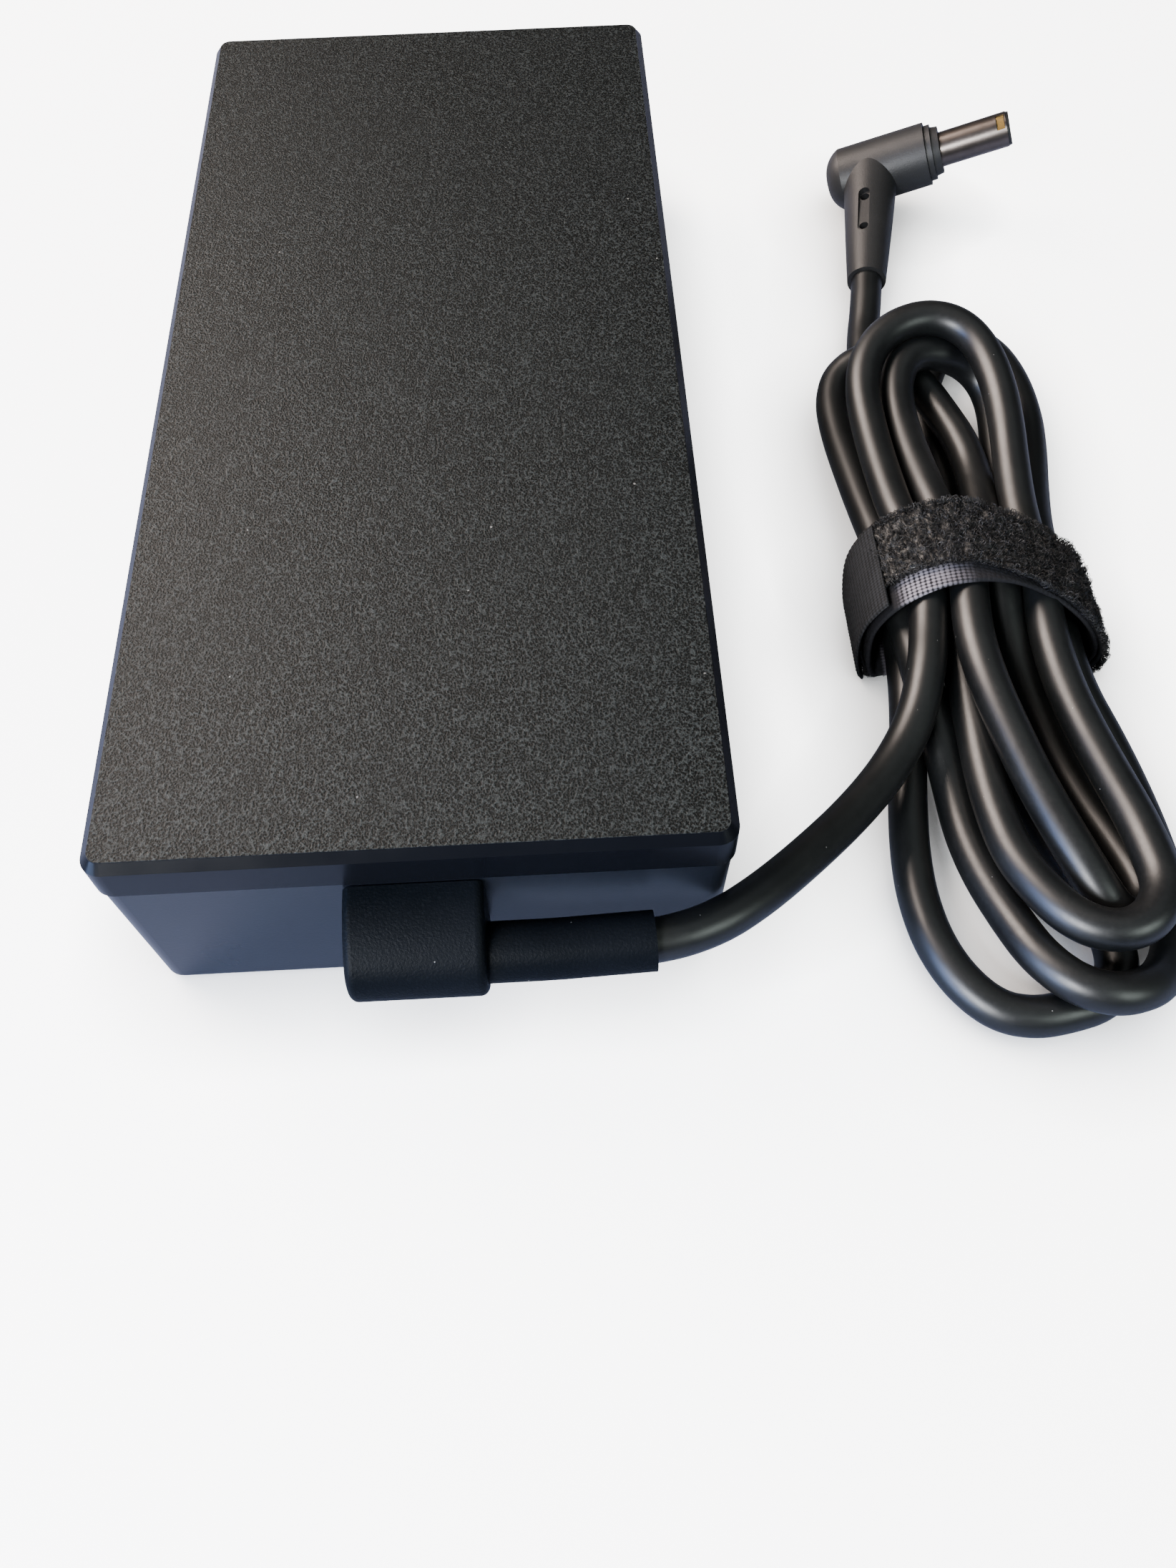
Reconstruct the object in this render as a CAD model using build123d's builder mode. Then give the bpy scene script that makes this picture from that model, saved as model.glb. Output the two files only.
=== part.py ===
"""Laptop power adapter: a brick with its output cord tied in a hank.

Millimetres, +Z up. The origin is the centre of the underside of the case.
+Y points to the mains inlet at the rear, -Y to the output cord at the front.
"""

import os
from math import cos, radians, sin, tan

from build123d import *

os.makedirs("parts", exist_ok=True)

# ---------------------------------------------------------------- driving sizes
case_width = 68.0
case_length = 150.0
case_height = 30.0
parting_height = 24.0
wall = 2.2
cover_corner = 2.4
bevel_width = 1.0
bevel_drop = 1.15
rim_inset = 0.3
base_inset = 0.9
base_corner = 2.2
base_edge = 1.2
lip_height = 1.2
lip_width = 1.0
fit_gap = 0.1
label_width = 46.0
label_length = 92.0
label_recess = 0.4

inlet_width = 27.2
inlet_height = 19.6
inlet_depth = 17.6
inlet_middle = 12.2
inlet_wall = 1.5
recess_depth = 16.0
pin_spacing = 14.0
pin_width = 2.0
pin_tall = 4.0
pin_drop = 2.0

boot_left = -8.0
boot_right = 7.0
boot_axis_y = -80.3
boot_axis_z = 17.0
boot_radius = 4.6
boot_edge = 1.0
boot_top = 23.8
boot_hole = 11.0
boot_hole_middle = boot_axis_z + 0.7
sleeve_radius = 3.35
sleeve_end = 25.0
sleeve_lean = 0.4

cord_diameter = 5.0
cord_radius = cord_diameter / 2

hank_base = 1.4
strap_thickness = 1.4
strap_front = -33.0
strap_back = -20.5
waist_front = -37.0
waist_back = -18.0
waist_left = 59.2
waist_right = 86.8
upper_lobe_height = 16.8
lower_lobe_height = 13.4

plug_heading = -7.0
plug_rise = 22.0
hub_radius = 5.1
hub_length = 17.0
hub_start = Vector(67.1, 67.8, 4.2)
neck_station = 7.2
neck_end_radius = 3.15
neck_hub_radius = 4.1
collar_radius = 3.9
collar_step_radius = 4.4
collar_length = 2.2
barrel_radius = 2.75
barrel_bore = 1.25
barrel_length = 11.4
tip_length = 0.5
socket_depth = 3.0
socket_radius = 3.4
flange_radius = 3.2
sleeve_wall = 0.4
contact_wall = 0.2
window_length = 1.3
window_width = 2.4
window_turn = 22.0
window_floor = 1.85

board_width = 58.0
board_front = -68.0
board_back = 54.0
board_bottom = 6.0
board_thickness = 1.6
board_top = board_bottom + board_thickness
screw_places = [(-26.0, -64.5), (26.0, -64.5), (-26.0, 50.5), (26.0, 50.5)]


def place(x, y, z):
    """A location context at one point."""
    return Locations((x, y, z))


def direction(a, b):
    """The unit vector from point a to point b."""
    return (Vector(*b) - Vector(*a)).normalized()


def bend_radii(points):
    """Each corner's radius: 0.45 of the shorter run over the tangent of half the turn."""
    radii = []
    for before, here, after in zip(points, points[1:], points[2:]):
        first = Vector(*here) - Vector(*before)
        second = Vector(*after) - Vector(*here)
        turn = radians(first.get_angle(second))
        radii.append(0.45 * min(first.length, second.length) / tan(turn / 2))
    return radii


def cord_tube(points, radius):
    """A round cord along straight runs joined by tangent arcs."""
    with BuildPart() as tube:
        with BuildLine() as route:
            FilletPolyline(*points, radius=bend_radii(points))
        with BuildSketch(Plane(origin=route.line @ 0, z_dir=route.line % 0)):
            Circle(radius)
        sweep(path=route.line)
    return tube


pieces = {}

# ---------------------------------------------------------------- lower half of the case
rim_width = case_width - 2 * rim_inset
rim_length = case_length - 2 * rim_inset
base_width = case_width - 2 * base_inset
base_length = case_length - 2 * base_inset
lip_outer_width = rim_width - 2 * (wall - lip_width)
lip_outer_length = rim_length - 2 * (wall - lip_width)

with BuildPart() as bottom_case:
    with BuildSketch():
        RectangleRounded(base_width, base_length, base_corner)
    with BuildSketch(Plane.XY.offset(parting_height)):
        RectangleRounded(rim_width, rim_length, base_corner)
    loft(ruled=True)
    fillet(bottom_case.faces().sort_by(Axis.Z)[0].edges(), base_edge)
    with BuildSketch(Plane.XY.offset(wall)):
        RectangleRounded(base_width - 2 * wall, base_length - 2 * wall, 1.2)
    with BuildSketch(Plane.XY.offset(parting_height)):
        RectangleRounded(rim_width - 2 * wall, rim_length - 2 * wall, 1.2)
    loft(ruled=True, mode=Mode.SUBTRACT)
    with BuildSketch(Plane.XY.offset(parting_height)):
        RectangleRounded(lip_outer_width, lip_outer_length, 1.6)
        RectangleRounded(rim_width - 2 * wall, rim_length - 2 * wall, 1.2, mode=Mode.SUBTRACT)
    extrude(amount=lip_height)
    with BuildSketch(Plane.XY.offset(wall)):
        with Locations(*screw_places):
            Circle(2.6)
            Circle(1.1, mode=Mode.SUBTRACT)
    extrude(amount=board_bottom - wall)
    with place(0, case_length / 2, inlet_middle):
        Box(inlet_width + 2 * fit_gap, 3 * wall, inlet_height + 2 * fit_gap, mode=Mode.SUBTRACT)
    with place((boot_left + boot_right) / 2, -case_length / 2, boot_hole_middle):
        Box(boot_hole, 3 * wall, boot_hole, mode=Mode.SUBTRACT)
    with BuildSketch():
        RectangleRounded(label_width, label_length, 2.0)
    extrude(amount=label_recess, mode=Mode.SUBTRACT)
pieces["bottom_case"] = bottom_case

# ---------------------------------------------------------------- upper half of the case
bevel_start = case_height - bevel_drop

with BuildPart() as top_cover:
    with BuildSketch(Plane.XY.offset(parting_height)):
        RectangleRounded(case_width, case_length, cover_corner)
    extrude(amount=bevel_start - parting_height)
    chamfer(top_cover.faces().sort_by(Axis.Z)[0].edges(), 0.3)
    with BuildSketch(Plane.XY.offset(bevel_start)):
        RectangleRounded(case_width, case_length, cover_corner)
    with BuildSketch(Plane.XY.offset(case_height)):
        RectangleRounded(case_width - 2 * bevel_width, case_length - 2 * bevel_width, cover_corner - bevel_width)
    loft(ruled=True)
    with BuildSketch(Plane.XY.offset(parting_height)):
        RectangleRounded(lip_outer_width + fit_gap, lip_outer_length + fit_gap, 1.6)
    extrude(amount=lip_height + fit_gap, mode=Mode.SUBTRACT)
    with BuildSketch(Plane.XY.offset(parting_height)):
        RectangleRounded(rim_width - 2 * wall, rim_length - 2 * wall, 1.2)
    extrude(amount=case_height - parting_height - wall, mode=Mode.SUBTRACT)
pieces["top_cover"] = top_cover

# ---------------------------------------------------------------- blank rating label
with BuildPart() as rating_label:
    with BuildSketch(Plane.XY.offset(fit_gap)):
        RectangleRounded(label_width - 0.6, label_length - 0.6, 1.8)
    extrude(amount=label_recess - fit_gap)
pieces["rating_label"] = rating_label

# ---------------------------------------------------------------- mains inlet
inlet_face = case_length / 2 - 0.3
inlet_back = inlet_face - inlet_depth
recess_floor = inlet_face - recess_depth

with BuildPart() as inlet_shell:
    with BuildSketch(Plane.XZ.offset(-inlet_face)):
        with Locations((0, inlet_middle)):
            RectangleRounded(inlet_width, inlet_height, 1.0)
    extrude(amount=inlet_depth)
    with BuildSketch(Plane.XZ.offset(-inlet_face)) as recess:
        with Locations((0, inlet_middle)):
            Rectangle(inlet_width - 2 * inlet_wall, inlet_height - 2 * inlet_wall)
        chamfer(recess.vertices().group_by(Axis.Z)[-1], 4.0)
        fillet(recess.vertices().group_by(Axis.Z)[0], 1.0)
    extrude(amount=recess_depth, mode=Mode.SUBTRACT)
    with BuildSketch(Plane.XZ.offset(-recess_floor)):
        with Locations((-pin_spacing / 2, inlet_middle - pin_drop), (pin_spacing / 2, inlet_middle - pin_drop)):
            Rectangle(pin_width, pin_tall)
        with Locations((0, inlet_middle + pin_drop)):
            Rectangle(pin_width, pin_tall)
    extrude(amount=inlet_depth - recess_depth, mode=Mode.SUBTRACT)
pieces["inlet_shell"] = inlet_shell

pin_tip = inlet_face - 1.5
pin_tail = inlet_back - 1.5
pin_places = {
    "inlet_line_pin": (-pin_spacing / 2, inlet_middle - pin_drop),
    "inlet_neutral_pin": (pin_spacing / 2, inlet_middle - pin_drop),
    "inlet_earth_pin": (0, inlet_middle + pin_drop),
}
for pin_name, pin_place in pin_places.items():
    with BuildPart() as inlet_pin:
        with BuildSketch(Plane.XZ.offset(-pin_tip)):
            with Locations(pin_place):
                Rectangle(pin_width, pin_tall)
        extrude(amount=pin_tip - pin_tail)
        chamfer(inlet_pin.faces().sort_by(Axis.Y)[-1].edges(), 0.5)
    pieces[pin_name] = inlet_pin

# ---------------------------------------------------------------- output cord, its boot and its plug
# The free stretch from the boot to the hank, and the one from the hank to the plug.
lead_points = [
    (18.0, -80.3, 17.0),
    (24.5, -80.2, 17.0),
    (31.5, -78.3, 16.6),
    (37.2, -74.4, 15.3),
    (43.6, -68.6, 13.0),
    (50.6, -61.6, 10.6),
    (56.4, -54.9, 9.6),
    (60.4, -48.6, 10.6),
    (62.4, -42.4, 12.2),
    (63.8, -36.4, 12.2),
]
plug_lead_points = [
    (66.6, 26.2, 2.6),
    (67.5, 31.2, 2.6),
    (68.6, 36.1, 3.4),
    (69.6, 42.0, 4.1),
]

boot_wall = -case_length / 2
boot_middle = (boot_left + boot_right) / 2

with BuildPart() as cable_boot:
    with BuildSketch(Plane.YZ.offset(boot_left)):
        with BuildLine():
            Line((boot_wall, boot_axis_z - boot_radius - 0.4), (boot_wall, boot_top))
            Spline(
                (boot_wall, boot_top),
                (boot_wall - 6.9, boot_top - 2.1),
                (boot_axis_y - boot_radius, boot_axis_z),
                tangents=((-1, -0.1), (0, -1)),
            )
            ThreePointArc(
                (boot_axis_y - boot_radius, boot_axis_z),
                (boot_axis_y - boot_radius * cos(radians(45)), boot_axis_z - boot_radius * sin(radians(45))),
                (boot_axis_y, boot_axis_z - boot_radius),
            )
            Line((boot_axis_y, boot_axis_z - boot_radius), (boot_wall, boot_axis_z - boot_radius - 0.4))
        make_face()
    extrude(amount=boot_right - boot_left)
    outer_edges = cable_boot.edges().filter_by(Plane.YZ).filter_by(lambda edge: edge.center().Y < boot_wall - 0.5)
    fillet(outer_edges, boot_edge)
    with BuildLine() as sleeve_route:
        FilletPolyline(
            (0, boot_axis_y, boot_axis_z),
            (14, boot_axis_y, boot_axis_z),
            (sleeve_end, boot_axis_y + sleeve_lean, boot_axis_z),
            radius=80,
        )
    with BuildSketch(Plane(origin=sleeve_route.line @ 0, z_dir=sleeve_route.line % 0)):
        Circle(sleeve_radius)
    sweep(path=sleeve_route.line)
    with place(boot_middle, boot_wall + 1.6, boot_hole_middle):
        Box(boot_hole - 0.4, 3.2, boot_hole - 0.4)
    with place(boot_middle, boot_wall + 4.0, boot_hole_middle):
        Box(boot_hole + 2.6, 1.6, boot_hole)
    add(cord_tube(lead_points, cord_radius + 0.02).part, mode=Mode.SUBTRACT)
pieces["cable_boot"] = cable_boot

output_lead = cord_tube(lead_points, cord_radius)
pieces["output_lead"] = output_lead
plug_lead = cord_tube(plug_lead_points, cord_radius)
pieces["plug_lead"] = plug_lead

# The hank: four and a half turns of cord as one closed solid, narrow where the strap holds it.
lead_end = Vector(*lead_points[-1])
lead_aim = direction(lead_points[-2], lead_points[-1])
plug_lead_start = Vector(*plug_lead_points[0])
plug_lead_aim = direction(plug_lead_points[0], plug_lead_points[1])
waist_outline = [
    (waist_left, hank_base),
    (waist_left, 9.6),
    (61.4, 14.3),
    (66.0, 15.7),
    (72.5, 15.7),
    (80.0, 13.6),
    (85.0, 10.4),
    (waist_right, 7.2),
    (waist_right, hank_base),
]


def hank_lobe(circles, waist_y, height):
    """One end of the hank: the hull of round turns and the waist's edge, with a rounded top."""
    with BuildPart() as lobe:
        with BuildSketch():
            for x, y, radius in circles:
                with Locations((x, y)):
                    Circle(radius)
            with Locations(((waist_left + waist_right) / 2, waist_y)):
                Rectangle(waist_right - waist_left, 1.0)
            make_hull()
        extrude(amount=height)
        chamfer(lobe.faces().sort_by(Axis.Z)[-1].edges(), 1.8)
    return lobe


upper_lobe = hank_lobe(((75.6, 11.4, 15.6), (62.2, 8.0, 5.0)), waist_back - 0.5, upper_lobe_height)
lower_circles = ((68.6, -74.9, 12.4), (78.8, -74.9, 12.0), (85.8, -62.0, 5.2))
lower_lobe = hank_lobe(lower_circles, waist_front + 0.5, lower_lobe_height)

with BuildPart() as cord_hank:
    with BuildSketch(Plane.XZ.offset(-waist_back)):
        with BuildLine():
            Polyline(*waist_outline, close=True)
        make_face()
    extrude(amount=waist_back - waist_front)
    add(upper_lobe.part)
    add(lower_lobe.part)
    side = lead_aim.cross(Vector(0, 0, 1))
    notch_corner = lead_end - side * 9.0
    notch_inner = lead_end + side * 3.6
    with BuildSketch(Plane.XY.offset(6.9)):
        with BuildLine():
            Polyline(
                (notch_corner.X, notch_corner.Y),
                (notch_inner.X, notch_inner.Y),
                (notch_inner.X - 0.6, notch_inner.Y - 4.0),
                (notch_inner.X - 1.0, notch_inner.Y - 24.0),
                (notch_corner.X - 2.0, notch_corner.Y - 24.0),
                close=True,
            )
        make_face()
    extrude(amount=12.0, mode=Mode.SUBTRACT)
    with BuildSketch(Plane(origin=plug_lead_start, z_dir=-plug_lead_aim)):
        Circle(cord_radius)
    extrude(amount=6.0)
pieces["cord_hank"] = cord_hank

# The hook-and-loop strap: one woven layer round the bundle and its loop-pile layer over it.
with BuildPart() as tie_strap:
    with BuildSketch(Plane.XZ.offset(-strap_back)):
        with BuildLine():
            Polyline(*waist_outline, close=True)
        make_face()
        offset(amount=strap_thickness, kind=Kind.ARC)
        with BuildLine():
            Polyline(*waist_outline, close=True)
        make_face(mode=Mode.SUBTRACT)
    extrude(amount=strap_back - strap_front)
pieces["tie_strap"] = tie_strap

# Right-angle plug. Its neck lies along the cord, and its hub is rolled so that the barrel points up a little.
hub_aim = Vector(
    cos(radians(plug_rise)) * cos(radians(plug_heading)),
    cos(radians(plug_rise)) * sin(radians(plug_heading)),
    sin(radians(plug_rise)),
)
neck_end = Vector(*plug_lead_points[-1])
neck_aim = direction(plug_lead_points[-2], plug_lead_points[-1])
neck_length = (hub_start + hub_aim * neck_station - neck_end).length
plug_up = hub_aim.cross(neck_aim).normalized()
hub_plane = Plane(origin=hub_start, x_dir=hub_aim, z_dir=plug_up)
hub_axis = Axis(hub_start, hub_aim)
hub_face = hub_start + hub_aim * hub_length

with BuildPart() as plug_overmould:
    with BuildSketch(hub_plane):
        with BuildLine():
            Line((0, 0), (hub_length, 0))
            Line((hub_length, 0), (hub_length, hub_radius - 0.1))
            Line((hub_length, hub_radius - 0.1), (2.6, hub_radius))
            ThreePointArc((2.6, hub_radius), (0.8, hub_radius - 1.4), (0, 0))
        make_face()
    revolve(axis=hub_axis)
    for share, radius in ((0, neck_end_radius), (0.6, neck_hub_radius), (1, 4.6)):
        with BuildSketch(Plane(origin=neck_end + neck_aim * share * neck_length, z_dir=neck_aim)):
            Circle(radius)
    loft()
    with BuildSketch(Plane(origin=hub_face - hub_aim * socket_depth, z_dir=hub_aim)):
        Circle(socket_radius)
    extrude(amount=socket_depth, mode=Mode.SUBTRACT)
    groove_plane = Plane(origin=neck_end + neck_aim * 12.4 + plug_up * 3.35, x_dir=neck_aim, z_dir=plug_up)
    with BuildSketch(groove_plane):
        SlotOverall(9.0, 1.9)
    extrude(amount=2.0, mode=Mode.SUBTRACT)
    with BuildSketch(groove_plane.offset(-1.2)):
        with Locations((-3.3, 0), (3.3, 0)):
            Circle(0.75)
    extrude(amount=2.0, mode=Mode.SUBTRACT)
pieces["plug_overmould"] = plug_overmould


def turned_ring(outline):
    """A ring turned about the barrel's axis, from its outline of (station, radius) points."""
    with BuildPart() as ring:
        with BuildSketch(hub_plane):
            with BuildLine():
                Polyline(*outline, close=True)
            make_face()
        revolve(axis=hub_axis)
    return ring


socket_floor = hub_length - socket_depth
collar_end = hub_length + collar_length
barrel_end = collar_end + barrel_length - tip_length

plug_collar = turned_ring([
    (socket_floor, flange_radius),
    (socket_floor, socket_radius),
    (hub_length, socket_radius),
    (hub_length, collar_step_radius),
    (hub_length + 1.0, collar_step_radius),
    (hub_length + 1.0, collar_radius),
    (collar_end, collar_radius - 0.2),
    (collar_end, flange_radius),
])
pieces["plug_collar"] = plug_collar

# A window near the barrel's tip shows a gold contact leaf.
window_up = plug_up.rotate(Axis((0, 0, 0), hub_aim), window_turn)
window_centre = hub_start + hub_aim * (barrel_end - 0.9)
window_plane = Plane(origin=window_centre, x_dir=hub_aim, z_dir=window_up)

with BuildPart() as plug_barrel:
    add(turned_ring([
        (socket_floor, barrel_radius - sleeve_wall),
        (socket_floor, flange_radius),
        (collar_end, flange_radius),
        (collar_end, barrel_radius),
        (barrel_end, barrel_radius),
        (barrel_end, barrel_radius - sleeve_wall),
    ]).part)
    with BuildSketch(window_plane):
        Rectangle(window_length, window_width)
    extrude(amount=4.0, mode=Mode.SUBTRACT)
pieces["plug_barrel"] = plug_barrel

contact_root = socket_floor + 2.0
contact_mouth = barrel_end + tip_length - 0.6

with BuildPart() as plug_insulator:
    add(turned_ring([
        (socket_floor, 0),
        (socket_floor, barrel_radius - sleeve_wall),
        (barrel_end, barrel_radius - sleeve_wall),
        (barrel_end, barrel_radius - 0.1),
        (barrel_end + tip_length, barrel_radius - 0.2),
        (barrel_end + tip_length, barrel_bore + contact_wall + 0.2),
        (contact_mouth, barrel_bore + contact_wall),
        (contact_root, barrel_bore + contact_wall),
        (contact_root, 0),
    ]).part)
    with BuildSketch(window_plane.offset(window_floor)):
        Rectangle(window_length, window_width)
    extrude(amount=2.0, mode=Mode.SUBTRACT)
pieces["plug_insulator"] = plug_insulator

with BuildPart() as plug_spring_contact:
    with BuildSketch(window_plane.offset(window_floor)):
        Rectangle(window_length - 0.1, window_width - 0.1)
    extrude(amount=0.5)
pieces["plug_spring_contact"] = plug_spring_contact

plug_inner_contact = turned_ring([
    (contact_root, barrel_bore),
    (contact_root, barrel_bore + contact_wall),
    (contact_mouth, barrel_bore + contact_wall),
    (contact_mouth, barrel_bore),
])
pieces["plug_inner_contact"] = plug_inner_contact

# ---------------------------------------------------------------- circuit board and its screws
board_middle = (board_front + board_back) / 2
board_length = board_back - board_front

with BuildPart() as circuit_board:
    with BuildSketch(Plane.XY.offset(board_bottom)):
        with Locations((0, board_middle)):
            RectangleRounded(board_width, board_length, 1.5)
        with Locations(*screw_places):
            Circle(1.3, mode=Mode.SUBTRACT)
    extrude(amount=board_thickness)
pieces["circuit_board"] = circuit_board

with BuildPart() as board_screws:
    with BuildSketch(Plane.XY.offset(board_bottom - 2.4)):
        with Locations(*screw_places):
            Circle(1.0)
    extrude(amount=2.4 + board_thickness)
    with BuildSketch(Plane.XY.offset(board_top)):
        with Locations(*screw_places):
            Circle(2.2)
    extrude(amount=1.7)
    with BuildSketch(Plane.XY.offset(board_top + 0.8)):
        with Locations(*screw_places):
            Rectangle(3.0, 0.6)
            Rectangle(0.6, 3.0)
    extrude(amount=0.9, mode=Mode.SUBTRACT)
pieces["board_screws"] = board_screws

# ---------------------------------------------------------------- heat spreaders, sheet and pads
spreader_length = 108.0

with BuildPart() as lower_heat_spreader:
    with BuildSketch(Plane.XY.offset(wall)):
        with Locations((0, -7)):
            RectangleRounded(44, spreader_length, 2)
    extrude(amount=1.0)
pieces["lower_heat_spreader"] = lower_heat_spreader

with BuildPart() as insulation_sheet:
    with BuildSketch(Plane.XY.offset(wall + 1.0)):
        with Locations((0, -7)):
            RectangleRounded(45.6, spreader_length + 3, 2)
    extrude(amount=0.4)
pieces["insulation_sheet"] = insulation_sheet

pad_bottom = wall + 1.4
with BuildPart() as thermal_pads:
    for pad_y, pad_size in ((-50, (36, 16)), (-28, (32, 18)), (18, (22, 16)), (40, (30, 14))):
        with place(0, pad_y, (pad_bottom + board_bottom) / 2):
            Box(pad_size[0], pad_size[1], board_bottom - pad_bottom)
pieces["thermal_pads"] = thermal_pads

with BuildPart() as upper_heat_spreader:
    with BuildSketch(Plane.XY.offset(26.7)):
        with Locations((0, -7)):
            RectangleRounded(56, 124, 2)
        with Locations((-12, -60), (12, -60), (-12, 46), (12, 46)):
            SlotOverall(12, 3, mode=Mode.SUBTRACT)
    extrude(amount=0.9)
pieces["upper_heat_spreader"] = upper_heat_spreader

# ---------------------------------------------------------------- heat sinks and what is screwed to them
sink_foot = board_top + 1.0
sink_top = 26.3
sink_inner = 26.2
sink_outer = 27.8
flange_reach = 7.0
screw_height = 22.0
primary_devices = {"bridge_rectifier": 37.0, "pfc_transistor": 22.0, "pfc_diode": 8.0}
output_devices = (-52.0, -34.0)


def heat_sink(side, front, back, device_places):
    """A bent aluminium plate that stands along one side wall. side is 1 on the right and -1 on the left."""
    with BuildPart() as sink:
        with place(side * (sink_inner + sink_outer) / 2, (front + back) / 2, (sink_foot + sink_top) / 2):
            Box(sink_outer - sink_inner, back - front, sink_top - sink_foot)
        with place(side * (sink_outer - flange_reach / 2), (front + back) / 2, sink_top - 0.8):
            Box(flange_reach, back - front, 1.6)
        with BuildSketch(Plane.YZ.offset(side * 27.0 - 2)):
            with Locations(*[(device_y, screw_height) for device_y in device_places]):
                Circle(1.6)
        extrude(amount=4, mode=Mode.SUBTRACT)
    return sink


def power_device(side, device_y, width):
    """A moulded power package: a thick body with a thin drilled tab above it, flat on its heat sink."""
    with BuildPart() as device:
        with place(side * (sink_inner - 2.2), device_y, 13.5):
            Box(4.4, width, 9.0)
        with place(side * (sink_inner - 0.7), device_y, 20.5):
            Box(1.4, width, 7.4)
        for leg in (-2.5, 0, 2.5):
            with place(side * (sink_inner - 2.8), device_y + leg, (board_top + 9.0) / 2):
                Box(0.6, 0.9, 9.0 - board_top)
        with BuildSketch(Plane.YZ.offset(side * 25.5 - 2)):
            with Locations((device_y, screw_height)):
                Circle(1.6)
        extrude(amount=4, mode=Mode.SUBTRACT)
    return device


primary_heat_sink = heat_sink(1, -14, 46, primary_devices.values())
pieces["primary_heat_sink"] = primary_heat_sink
output_heat_sink = heat_sink(-1, -60, -26, output_devices)
pieces["output_heat_sink"] = output_heat_sink

for device_name, device_y in primary_devices.items():
    pieces[device_name] = power_device(1, device_y, 12.0 if device_name == "bridge_rectifier" else 10.0)

with BuildPart() as output_rectifiers:
    for device_y in output_devices:
        add(power_device(-1, device_y, 10.0).part)
pieces["output_rectifiers"] = output_rectifiers

with BuildPart() as heat_sink_screws:
    screw_list = [(1, device_y) for device_y in primary_devices.values()]
    screw_list += [(-1, device_y) for device_y in output_devices]
    for side, device_y in screw_list:
        head_plane = Plane(origin=(side * (sink_inner - 1.4), device_y, screw_height), z_dir=(-side, 0, 0))
        with BuildSketch(head_plane):
            Circle(2.6)
        extrude(amount=1.8)
        with BuildSketch(head_plane):
            Circle(1.45)
        extrude(amount=-3.6)
pieces["heat_sink_screws"] = heat_sink_screws

# ---------------------------------------------------------------- mains side of the board
fuse_axis = board_top + 3.0

with BuildPart() as mains_fuse:
    with BuildSketch(Plane.XZ.offset(-25.5)):
        with Locations((-25.2, fuse_axis)):
            Circle(2.4)
    extrude(amount=-20.0)
    with BuildSketch(Plane.XZ.offset(-25.5)):
        with Locations((-25.2, fuse_axis)):
            Circle(2.7)
    extrude(amount=-5.0)
    with BuildSketch(Plane.XZ.offset(-40.5)):
        with Locations((-25.2, fuse_axis)):
            Circle(2.7)
    extrude(amount=-5.0)
    for clip_y in (28.0, 43.0):
        with place(-25.2, clip_y, board_top + 0.4):
            Box(3.0, 2.0, 0.8)
pieces["mains_fuse"] = mains_fuse

with BuildPart() as surge_varistor:
    with BuildSketch(Plane.XZ.offset(-48.0)):
        with Locations((-15.0, board_top + 6.8)):
            Circle(5.6)
    extrude(amount=-4.2)
    fillet(surge_varistor.edges().filter_by(GeomType.CIRCLE), 1.0)
    for lead_x in (-17.0, -13.0):
        with place(lead_x, 50.1, board_top + 1.2):
            Cylinder(0.4, 2.4)
pieces["surge_varistor"] = surge_varistor

with BuildPart() as x_capacitors:
    with BuildSketch(Plane.XY.offset(board_top)):
        with Locations((12.5, 47.0), (12.5, 35.6)):
            Rectangle(17.0, 8.4)
    extrude(amount=13.0)
    fillet(x_capacitors.edges().filter_by(Axis.Z), 0.6)
pieces["x_capacitors"] = x_capacitors

with BuildPart() as y_capacitors:
    for disc_x in (-3.3, 0.6):
        with BuildSketch(Plane.YZ.offset(disc_x)):
            with Locations((47.0, board_top + 5.2)):
                Circle(3.4)
        extrude(amount=2.6)
        with place(disc_x + 1.3, 47.0, board_top + 1.2):
            Cylinder(0.4, 2.4)
pieces["y_capacitors"] = y_capacitors


def ring_core(x, y, outer, inner, height, bottom):
    """A toroidal ferrite ring that lies flat."""
    with BuildPart() as ring:
        with BuildSketch(Plane.XY.offset(bottom)):
            with Locations((x, y)):
                Circle(outer)
                Circle(inner, mode=Mode.SUBTRACT)
        extrude(amount=height)
        fillet(ring.edges().filter_by(GeomType.CIRCLE), 0.6)
    return ring


def ring_winding(x, y, outer, inner, height, bottom, turns, span, wire):
    """Square loops of wire round a ring core, spread over a number of degrees on each of its two sides."""
    with BuildPart() as winding:
        for first in (90 - span / 2, 270 - span / 2):
            for turn in range(turns):
                angle = radians(first + span * turn / (turns - 1))
                across = Vector(cos(angle), sin(angle), 0)
                frame = Plane(origin=(x, y, bottom), x_dir=across, z_dir=across.cross(Vector(0, 0, 1)))
                with BuildSketch(frame):
                    with Locations(((outer + inner) / 2, height / 2)):
                        RectangleRounded(outer - inner + 2 * wire + 0.3, height + 2 * wire + 0.3, 0.8)
                        Rectangle(outer - inner + 0.2, height + 0.2, mode=Mode.SUBTRACT)
                extrude(amount=wire / 2, both=True)
    return winding


choke_sizes = (-11.8, 36.4, 9.0, 4.6, 8.0, board_top + 1.4)
common_mode_core = ring_core(*choke_sizes)
pieces["common_mode_core"] = common_mode_core
common_mode_winding = ring_winding(*choke_sizes, 7, 130, 1.0)
pieces["common_mode_winding"] = common_mode_winding

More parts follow.
